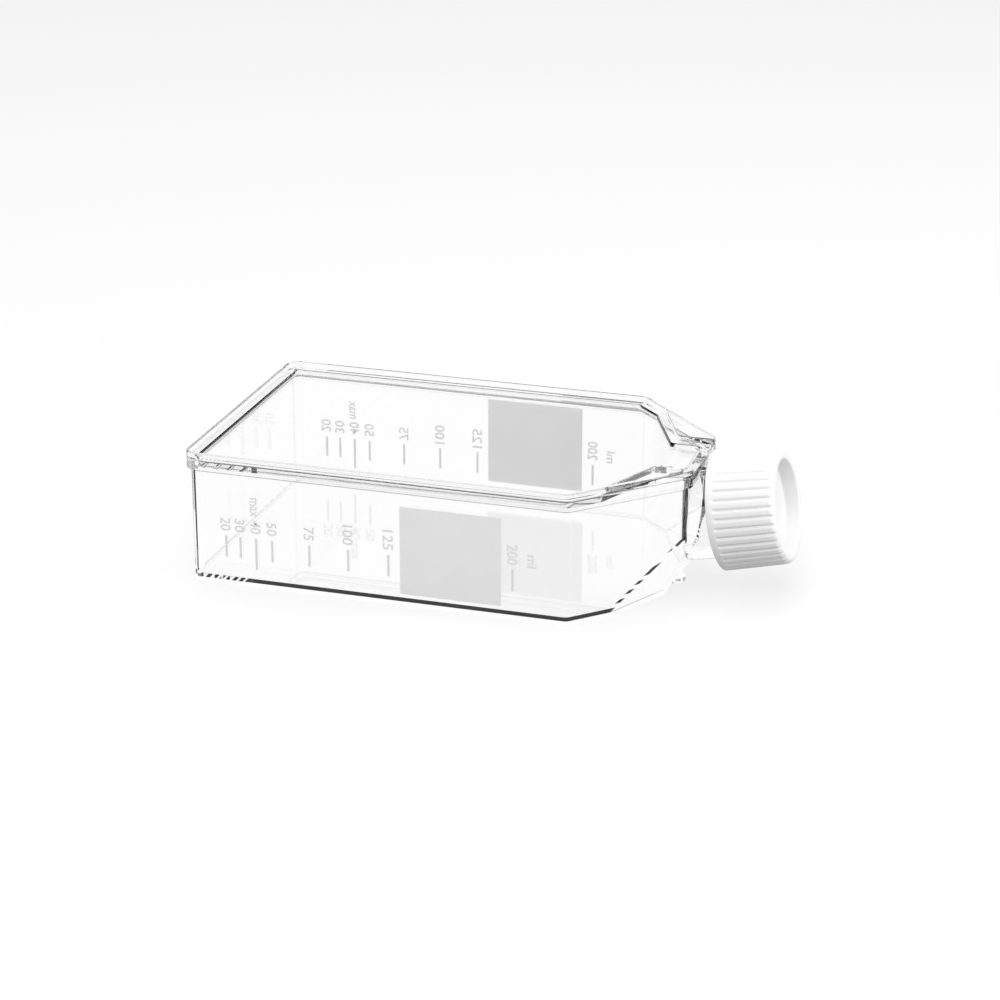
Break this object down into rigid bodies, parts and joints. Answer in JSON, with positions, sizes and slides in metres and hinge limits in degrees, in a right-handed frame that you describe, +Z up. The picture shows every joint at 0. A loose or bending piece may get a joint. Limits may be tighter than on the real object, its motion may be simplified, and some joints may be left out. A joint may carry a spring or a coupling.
{
  "type": "cell culture flask",
  "caption": "Low clear plastic culture flask with angled shoulders, a sloping keel, a stacking lip on its top plate and a tilted neck closed by a ribbed white screw cap.",
  "frame": {"origin": "the middle of the face that the flask rests on, halfway between its back and front walls", "axes": "+X towards the neck, +Z up out of the top plate, +Y to the left when looking along +X"},
  "size_m": [0.152, 0.0768, 0.0389],
  "materials": {
    "clear_plastic": "clear, glossy moulded polystyrene",
    "cap_plastic": "white, satin moulded polyethylene"
  },
  "bodies": {
    "flask": {"flask_tray": "clear_plastic", "top_plate": "clear_plastic"},
    "cap": {"screw_cap": "cap_plastic"}
  },
  "joints": [
    {"name": "cap_lift", "type": "slide", "parent": "flask", "child": "cap", "axis": [0.9813, 0, 0.1925], "range_m": [0, 0.04]}
  ]
}
